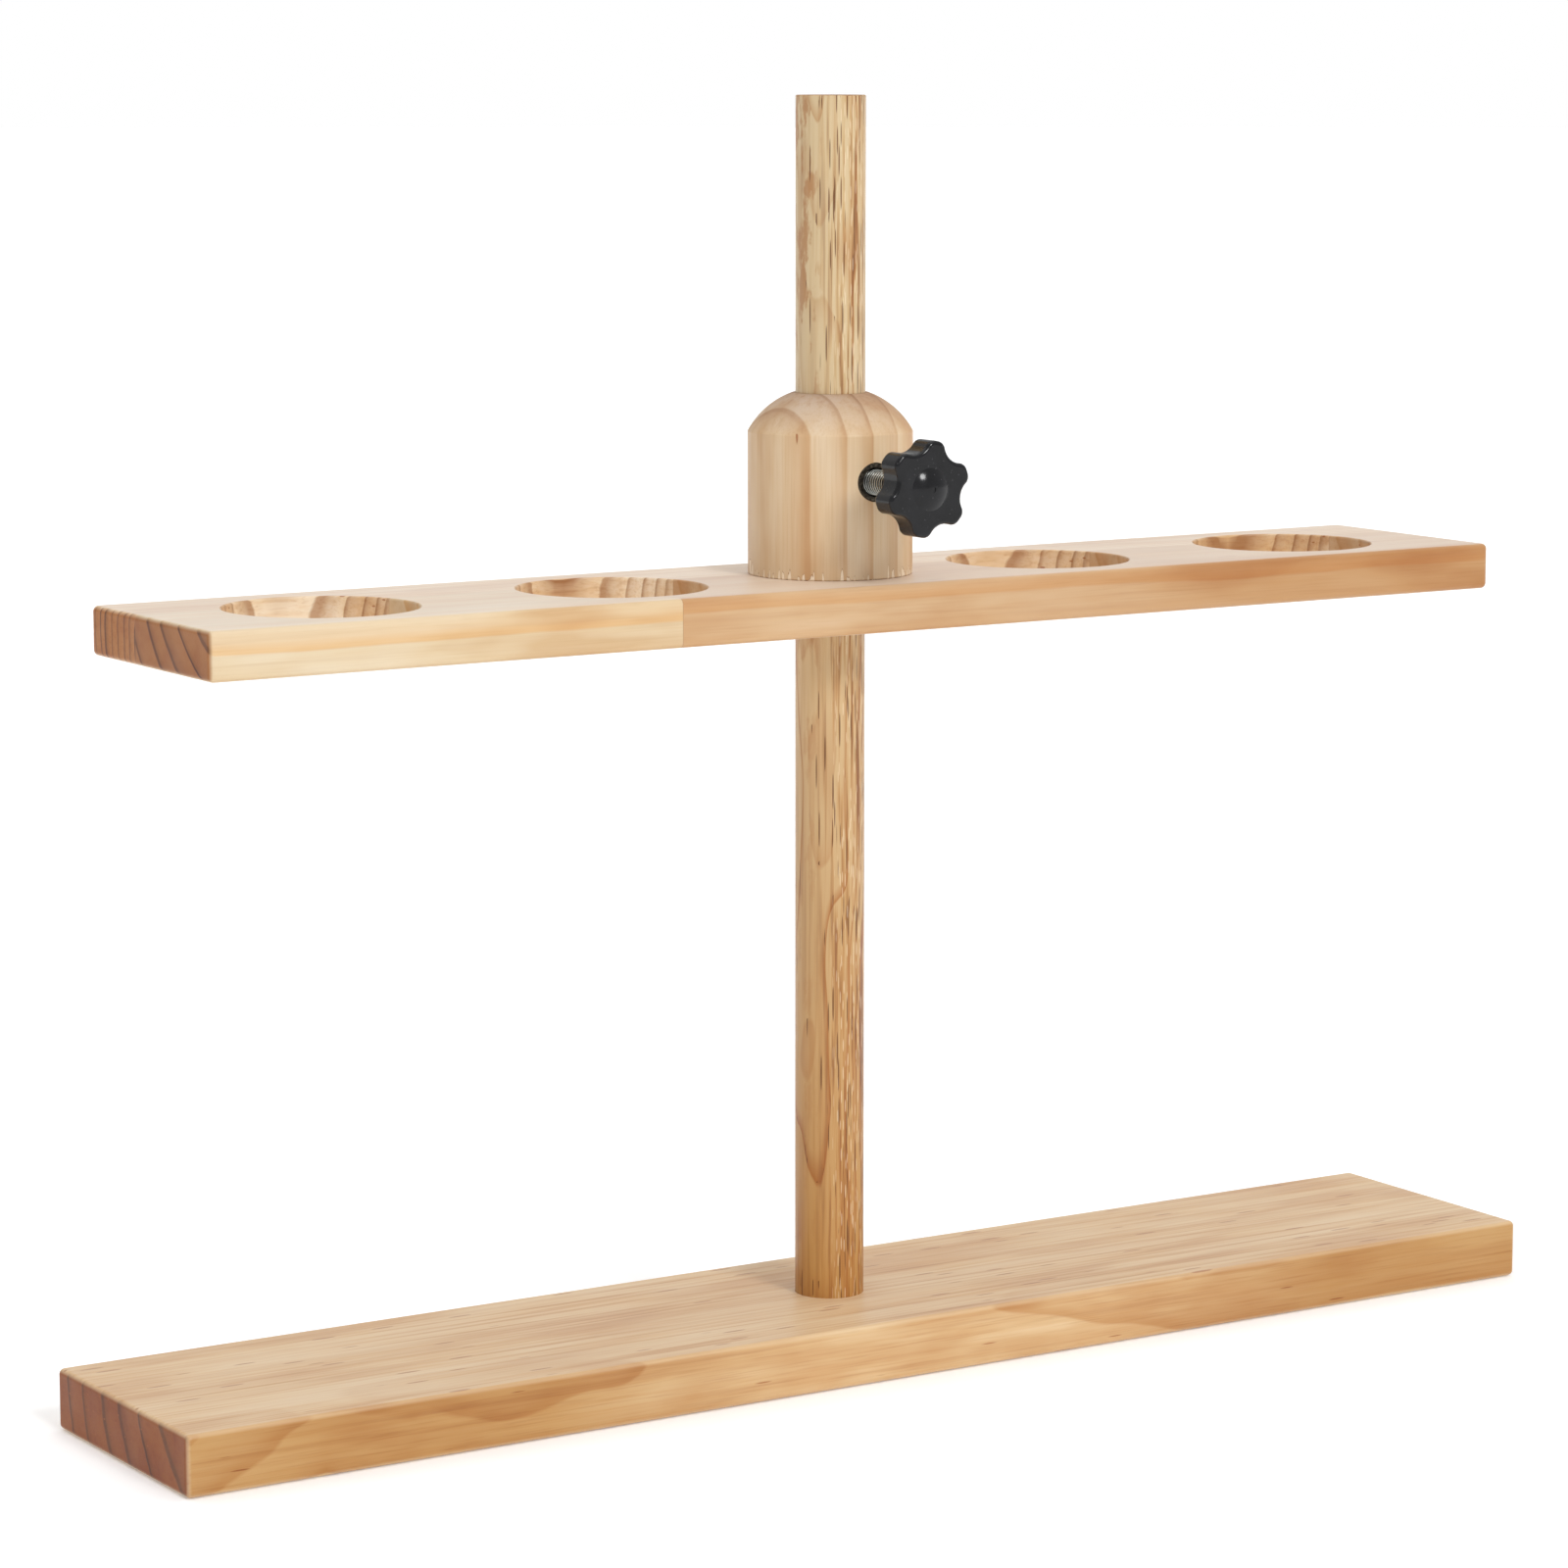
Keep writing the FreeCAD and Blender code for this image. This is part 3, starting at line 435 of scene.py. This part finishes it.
# the sawn ends drank more lacquer than the bored walls, so they are browner
out_along = put(tree, "ShaderNodeMath", {0: where.outputs["X"]}, operation="ABSOLUTE")
thirst = put(tree, "ShaderNodeMapRange", {
    "Value": out_along.outputs[0], "From Min": BEYOND_HOLES_X, "From Max": SAWN_END_X,
    "To Min": 0.2})
end_grain = put(tree, "ShaderNodeMath", {0: end_grain, 1: thirst.outputs[0]},
                operation="MULTIPLY").outputs[0]
back_colour, back_relief = pine_stave(
    tree, place, end_grain, parts.outputs["Z"], pith=(-62, 236), year=3.9, first=1.0, wander=12,
    seed=8.7, colours=("#e8d5bb", "#9d6a3c", "#b27844", "#421e09"), streaky=0.6,
    canals=0.25)
left_colour, left_relief = pine_stave(
    tree, place, end_grain, parts.outputs["Z"], pith=(-68, 290), year=9.5, first=3.0, wander=5,
    seed=14.2, colours=("#dbcaad", "#dab27e", "#a56c3c", "#562b12"), streaky=0.2, canals=0.2)
right_colour, right_relief = pine_stave(
    tree, place, end_grain, parts.outputs["Z"], pith=(-74, 286), year=9.0, first=6.0, wander=7,
    seed=19.9, colours=("#d0b391", "#cb9f6f", "#a36a3c", "#562b12"), streaky=0.28, canals=0.3)
is_right = put(tree, "ShaderNodeMath", {0: where.outputs["X"], 1: BUTT_JOINT_X},
               operation="GREATER_THAN")
is_back = put(tree, "ShaderNodeMath", {0: where.outputs["Y"], 1: GLUE_LINE_Y},
              operation="GREATER_THAN")
front_colour = put(tree, "ShaderNodeMix", {
    0: is_right.outputs[0], 6: left_colour, 7: right_colour}, data_type="RGBA")
both_colour = put(tree, "ShaderNodeMix", {
    0: is_back.outputs[0], 6: front_colour.outputs[2], 7: back_colour}, data_type="RGBA")
front_relief = put(tree, "ShaderNodeMix", {
    0: is_right.outputs[0], 2: left_relief, 3: right_relief})
both_relief = put(tree, "ShaderNodeMix", {
    0: is_back.outputs[0], 2: front_relief.outputs[0], 3: back_relief})
# the glue lines themselves are hair-thin and slightly brown
on_butt = put(tree, "ShaderNodeMath", {
    0: where.outputs["X"], 1: BUTT_JOINT_X, 2: BUTT_HALF_WIDTH}, operation="COMPARE")
on_glue = put(tree, "ShaderNodeMath", {
    0: where.outputs["Y"], 1: GLUE_LINE_Y, 2: GLUE_HALF_WIDTH}, operation="COMPARE")
is_front = put(tree, "ShaderNodeMath", {0: 1.0, 1: is_back.outputs[0]}, operation="SUBTRACT")
butt = put(tree, "ShaderNodeMath", {0: on_butt.outputs[0], 1: is_front.outputs[0]},
           operation="MULTIPLY")
seam = put(tree, "ShaderNodeMath", {0: butt.outputs[0], 1: on_glue.outputs[0]},
           operation="MAXIMUM")
faint_seam = put(tree, "ShaderNodeMath", {0: seam.outputs[0], 1: 0.4}, operation="MULTIPLY")
seamed = put(tree, "ShaderNodeMix", {
    0: faint_seam.outputs[0], 6: both_colour.outputs[2], 7: linear("#9c6c43")},
    data_type="RGBA")
lowered = put(tree, "ShaderNodeMath", {0: both_relief.outputs[0], 1: seam.outputs[0]},
              operation="SUBTRACT")
# the top and the underside are painted paler and pinker than the edges: a painted sheen
painted_sheen = put(tree, "ShaderNodeMapRange", {
    "Value": parts.outputs["Z"], "From Min": 0.9, "From Max": 1.0, "To Max": 0.5})
paler = put(tree, "ShaderNodeMix", {
    0: painted_sheen.outputs[0], 6: seamed.outputs[2], 7: linear("#f3e6da")}, data_type="RGBA")
# the right front stave grows browner towards its end, on its edge only
right_end = put(tree, "ShaderNodeMapRange", {
    "Value": where.outputs["X"], "From Min": -20.0, "From Max": 150.0})
right_edge = put(tree, "ShaderNodeMath", {0: right_end.outputs[0], 1: parts.outputs["Y"]},
                 operation="MULTIPLY")
colour = put(tree, "ShaderNodeMix", {
    0: right_edge.outputs[0], 6: paler.outputs[2], 7: linear("#e6d0b4")},
    data_type="RGBA", blend_type="MULTIPLY").outputs[2]
lacquer(tree, shader, place, end_grain, colour, lowered.outputs[0], rough=0.4, depth=0.00006)
give("holder_board", glued_pine)

# ---------------------------------------------------------------------------------------------
# Collar: a pine boss turned on a lathe with the grain upright, sanded and thinly lacquered. Its
# rings are nearly flat sheets about 9 mm apart that run up the wall and bend over the dome. The
# saw has torn a few fibres out round its foot.
# ---------------------------------------------------------------------------------------------
turned_pine, tree, shader = start_material("turned_pine_boss")
place, end_grain, parts = grain_frame(tree, UPRIGHT)
colour, relief = pine_stave(
    tree, place, end_grain, parts.outputs["X"], pith=(-12, 95), year=9.0, first=2.0, wander=2.5,
    seed=27.4, colours=("#dec8aa", "#c69c70", "#b9a18d", "#95745b"), canals=0.12, streaky=0.3,
    crisp=0.8)
# torn fibres: pale slivers up to 5 mm tall round the foot, with a brown rim
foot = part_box("collar")[0].z * MM
TEAR_HEIGHT = 5.0
heights = put(tree, "ShaderNodeSeparateXYZ", {0: place})
tear = put(tree, "ShaderNodeTexNoise", {
    "Vector": stretched(tree, place, along=30, across=1.3, seed=1.7), "Scale": 1,
    "Detail": 1})
tear_top = put(tree, "ShaderNodeMapRange", {
    "Value": tear.outputs[0], "From Min": 0.51, "From Max": 0.72, "To Min": foot,
    "To Max": foot + TEAR_HEIGHT})
above = put(tree, "ShaderNodeMath", {0: tear_top.outputs[0], 1: heights.outputs["X"]},
            operation="SUBTRACT")
chip = put(tree, "ShaderNodeMapRange", {"Value": above.outputs[0], "From Max": 0.5})
rim = put(tree, "ShaderNodeValToRGB", {0: chip.outputs[0]}, stops=[
    (0.0, 0.0), (0.3, 1.0), (0.75, 0.1), (1.0, 0.0)])
chipped = put(tree, "ShaderNodeMix", {
    0: chip.outputs[0], 6: colour, 7: linear("#efdcc1")}, data_type="RGBA")
edged = put(tree, "ShaderNodeMix", {
    0: rim.outputs[0], 6: chipped.outputs[2], 7: linear("#9c6a3f")}, data_type="RGBA")
# faint rings 0.7 mm apart left by the lathe tool
turning = put(tree, "ShaderNodeTexNoise", {
    "Vector": stretched(tree, place, along=0.7, across=60, seed=5.0), "Scale": 1,
    "Detail": 2})
ridged = put(tree, "ShaderNodeMath", {0: turning.outputs[0], 1: 0.7, 2: relief},
             operation="MULTIPLY_ADD")
chipped_relief = put(tree, "ShaderNodeMath", {
    0: chip.outputs[0], 1: -4.0, 2: ridged.outputs[0]}, operation="MULTIPLY_ADD")
lacquer(tree, shader, place, end_grain, edged.outputs[2], chipped_relief.outputs[0],
        rough=0.5, depth=0.00005)
give("collar", turned_pine)

# ---------------------------------------------------------------------------------------------
# Threaded insert: a zinc-alloy bushing screwed into the collar's side, painted dark grey for its
# oxide and as painted shade from the knob in front. Only its rim shows, round the stud.
# ---------------------------------------------------------------------------------------------
def in_millimetres(tree):
    """Object coordinates in millimetres, for a finish without a grain."""
    here = put(tree, "ShaderNodeTexCoord")
    place = put(tree, "ShaderNodeMapping", {
        "Vector": here.outputs["Object"], "Scale": (MM, MM, MM)})
    return place.outputs[0]


dark_zinc, tree, shader = start_material("oxidised_zinc_with_painted_shade")
place = in_millimetres(tree)
# the die-cast skin is mottled every 0.7 mm
cast = put(tree, "ShaderNodeTexNoise", {"Vector": place, "Scale": 1.4, "Detail": 4})
# dark grey: the alloy's oxide, darkened further as painted shade from the knob in front
oxide_and_shade = put(tree, "ShaderNodeValToRGB", {0: cast.outputs[0]}, stops=[
    (0.35, "#2b2722"), (0.55, "#4a443b"), (0.72, "#6d665a")])
rough = put(tree, "ShaderNodeMapRange", {
    "Value": cast.outputs[0], "To Min": 0.3, "To Max": 0.6})
surface(tree, shader, oxide_and_shade.outputs[0], rough.outputs[0], cast.outputs[0], 0.4, 0.00005)
shader.inputs["Metallic"].default_value = 1.0
give("threaded_insert", dark_zinc)

# ---------------------------------------------------------------------------------------------
# Lock stud: an M8 threaded rod, rolled and bright zinc plated. Its thread's roots are painted
# nearly black and its crests light: painted shade in the grooves.
# ---------------------------------------------------------------------------------------------
STUD_AXIS_Z = 0.5 * (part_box("lock_stud")[0].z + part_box("lock_stud")[1].z) * MM
ROOT_RADIUS, CREST_RADIUS = 3.4, 4.0  # mm

plated, tree, shader = start_material("zinc_plated_steel_thread")
place = in_millimetres(tree)
spoke = put(tree, "ShaderNodeMapping", {
    "Vector": place, "Location": (0, 0, -STUD_AXIS_Z), "Scale": (1, 0, 1)})
radius = put(tree, "ShaderNodeVectorMath", {0: spoke.outputs[0]}, operation="LENGTH")
height = put(tree, "ShaderNodeMapRange", {
    "Value": radius.outputs["Value"], "From Min": ROOT_RADIUS, "From Max": CREST_RADIUS})
spangle = put(tree, "ShaderNodeTexNoise", {"Vector": place, "Scale": 0.8, "Detail": 4})
# painted shade: the thread's roots are painted nearly black, the crests light zinc
shade = put(tree, "ShaderNodeValToRGB", {0: height.outputs[0]}, stops=[
    (0.0, "#12110f"), (0.62, "#35332f"), (0.86, "#9b9c98"), (1.0, "#c9cac6")])
tint = put(tree, "ShaderNodeValToRGB", {0: spangle.outputs[0]}, stops=[
    (0.35, "#d8d9d2"), (0.65, "#ffffff")])
zinc = put(tree, "ShaderNodeMix", {
    0: 0.8, 6: shade.outputs[0], 7: tint.outputs[0]}, data_type="RGBA", blend_type="MULTIPLY")
rough = put(tree, "ShaderNodeMapRange", {
    "Value": spangle.outputs[0], "To Min": 0.16, "To Max": 0.34})
surface(tree, shader, zinc.outputs[2], rough.outputs[0], spangle.outputs[0], 0.25, 0.00003)
shader.inputs["Metallic"].default_value = 1.0
give("lock_stud", plated)

# ---------------------------------------------------------------------------------------------
# Knob head: black glass-filled nylon, injection moulded round the stud. It is half glossy, with
# small bright highlights, faint scuffs and a few specks of dust.
# ---------------------------------------------------------------------------------------------
nylon, tree, shader = start_material("moulded_black_nylon")
place = in_millimetres(tree)
cloud = put(tree, "ShaderNodeTexNoise", {"Vector": place, "Scale": 0.12, "Detail": 3})
black = put(tree, "ShaderNodeValToRGB", {0: cloud.outputs[0]}, stops=[
    (0.35, "#0b0b0d"), (0.65, "#141417")])
# grey specks of dust about 0.4 mm across, 2 mm apart
dust = put(tree, "ShaderNodeTexVoronoi", {"Vector": place, "Scale": 0.55})
speck = put(tree, "ShaderNodeMapRange", {
    "Value": dust.outputs["Distance"], "From Min": 0.13, "From Max": 0.07, "To Max": 0.3})
dusty = put(tree, "ShaderNodeMix", {
    0: speck.outputs[0], 6: black.outputs[0], 7: linear("#6a6a6c")}, data_type="RGBA")
# the spark-eroded mould leaves a skin grain of a quarter of a millimetre
skin = put(tree, "ShaderNodeTexNoise", {"Vector": place, "Scale": 4.0, "Detail": 3})
scuff = put(tree, "ShaderNodeTexNoise", {"Vector": place, "Scale": 0.45, "Detail": 5})
rough = put(tree, "ShaderNodeMapRange", {
    "Value": scuff.outputs[0], "From Min": 0.3, "From Max": 0.7, "To Min": 0.12, "To Max": 0.24})
surface(tree, shader, dusty.outputs[2], rough.outputs[0], skin.outputs[0], 0.3, 0.000008)
shader.inputs["IOR"].default_value = 1.5
shader.inputs["Specular IOR Level"].default_value = 0.34
give("knob_head", nylon)

# ---------------------------------------------------------------------------------------------
# Wood screws: countersunk, cross recessed, yellow zinc plated. One holds the post from under the
# base, and two hold the collar from under the holder board.
# ---------------------------------------------------------------------------------------------
yellow_zinc, tree, shader = start_material("yellow_zinc_plated_screw")
place = in_millimetres(tree)
# the passivation shifts from gold to pink in patches about 2 mm across
bloom = put(tree, "ShaderNodeTexNoise", {"Vector": place, "Scale": 0.5, "Detail": 4})
passivated = put(tree, "ShaderNodeValToRGB", {0: bloom.outputs[0]}, stops=[
    (0.3, "#a98a45"), (0.5, "#cdb673"), (0.62, "#c9b98f"), (0.75, "#b79aa0")])
rough = put(tree, "ShaderNodeMapRange", {
    "Value": bloom.outputs[0], "To Min": 0.25, "To Max": 0.45})
tree.links.new(passivated.outputs[0], shader.inputs["Base Color"])
tree.links.new(rough.outputs[0], shader.inputs["Roughness"])
shader.inputs["Metallic"].default_value = 1.0
give("post_screw", yellow_zinc)
give("collar_screws", yellow_zinc)

# ---------------------------------------------------------------------------------------------
# Studio: a white floor that fades into a white surround, one soft key light from the front and a
# softer one from overhead. The surround is only there to be seen: it lights nothing.
# ---------------------------------------------------------------------------------------------
paper, tree, shader = start_material("white_paper_floor")
shader.inputs["Base Color"].default_value = (0.93, 0.93, 0.93, 1.0)
shader.inputs["Roughness"].default_value = 0.9
shader.inputs["Specular IOR Level"].default_value = 0.1
shader.inputs["Emission Color"].default_value = (1.0, 1.0, 1.0, 1.0)
shader.inputs["Emission Strength"].default_value = 0.16
FLOOR_RADIUS, SURROUND_RADIUS = 24.0, 23.0  # metres
FLOOR_DROP = 0.0003                         # metres that the floor lies below the base board


def stage_piece(name, material, shape):
    """A studio object from a finished bmesh."""
    mesh = bpy.data.meshes.new(name)
    shape.to_mesh(mesh)
    shape.free()
    mesh.materials.append(material)
    made = bpy.data.objects.new(name, mesh)
    bpy.context.scene.collection.objects.link(made)
    return made


sheet = bmesh.new()
bmesh.ops.create_circle(sheet, cap_ends=True, segments=96, radius=FLOOR_RADIUS,
                        matrix=Matrix.Translation((0, 0, -FLOOR_DROP)))
floor = stage_piece("paper_floor", paper, sheet)

glow = bpy.data.materials.new("white_surround")
glow.use_nodes = True
glow.node_tree.nodes.clear()
lit = put(glow.node_tree, "ShaderNodeEmission", {"Color": (1, 1, 1, 1), "Strength": 1.0})
put(glow.node_tree, "ShaderNodeOutputMaterial", {"Surface": lit.outputs[0]})
dome = bmesh.new()
bmesh.ops.create_uvsphere(dome, u_segments=48, v_segments=24, radius=SURROUND_RADIUS)
surround = stage_piece("white_surround", glow, dome)
for ray_kind in ("diffuse", "glossy", "shadow", "transmission"):
    setattr(surround, "visible_" + ray_kind, False)

world = bpy.data.worlds.new("soft_room")
world.use_nodes = True
room = world.node_tree.nodes["Background"]
room.inputs["Color"].default_value = (1.0, 1.0, 1.0, 1.0)
room.inputs["Strength"].default_value = 0.62
bpy.context.scene.world = world


def soft_sun(name, toward, strength, spread):
    """A distant light that shines along toward, from a disc that is spread degrees wide."""
    lamp = bpy.data.lights.new(name, "SUN")
    lamp.energy = strength
    lamp.angle = math.radians(spread)
    made = bpy.data.objects.new(name, lamp)
    aim = Vector(toward)
    made.rotation_euler = aim.to_track_quat("-Z", "Y").to_euler()
    bpy.context.scene.collection.objects.link(made)


soft_sun("key", toward=(-0.03, 0.83, -0.56), strength=1.35, spread=16)
soft_sun("overhead", toward=(-0.1, -0.15, -1.0), strength=0.8, spread=70)

bpy.context.scene.view_settings.view_transform = "Standard"
bpy.context.scene.view_settings.look = "None"

# ---------------------------------------------------------------------------------------------
# Camera: front left of the stand, a little above the holder board, with a long lens
# ---------------------------------------------------------------------------------------------
EYE = (-0.85748, -1.32543, 0.417745)
HEADING = 0.565       # radians from +Y towards +X
DIP = 0.147           # radians below level
FOCAL_LENGTH = 115.3  # mm, on a sensor 36 mm wide

lens = bpy.data.cameras.new("camera")
lens.sensor_width = 36.0
lens.lens = FOCAL_LENGTH
lens.clip_end = 100.0
camera = bpy.data.objects.new("camera", lens)
camera.location = EYE
camera.rotation_euler = (math.pi / 2 - DIP, 0, -HEADING)
bpy.context.scene.collection.objects.link(camera)
bpy.context.scene.camera = camera
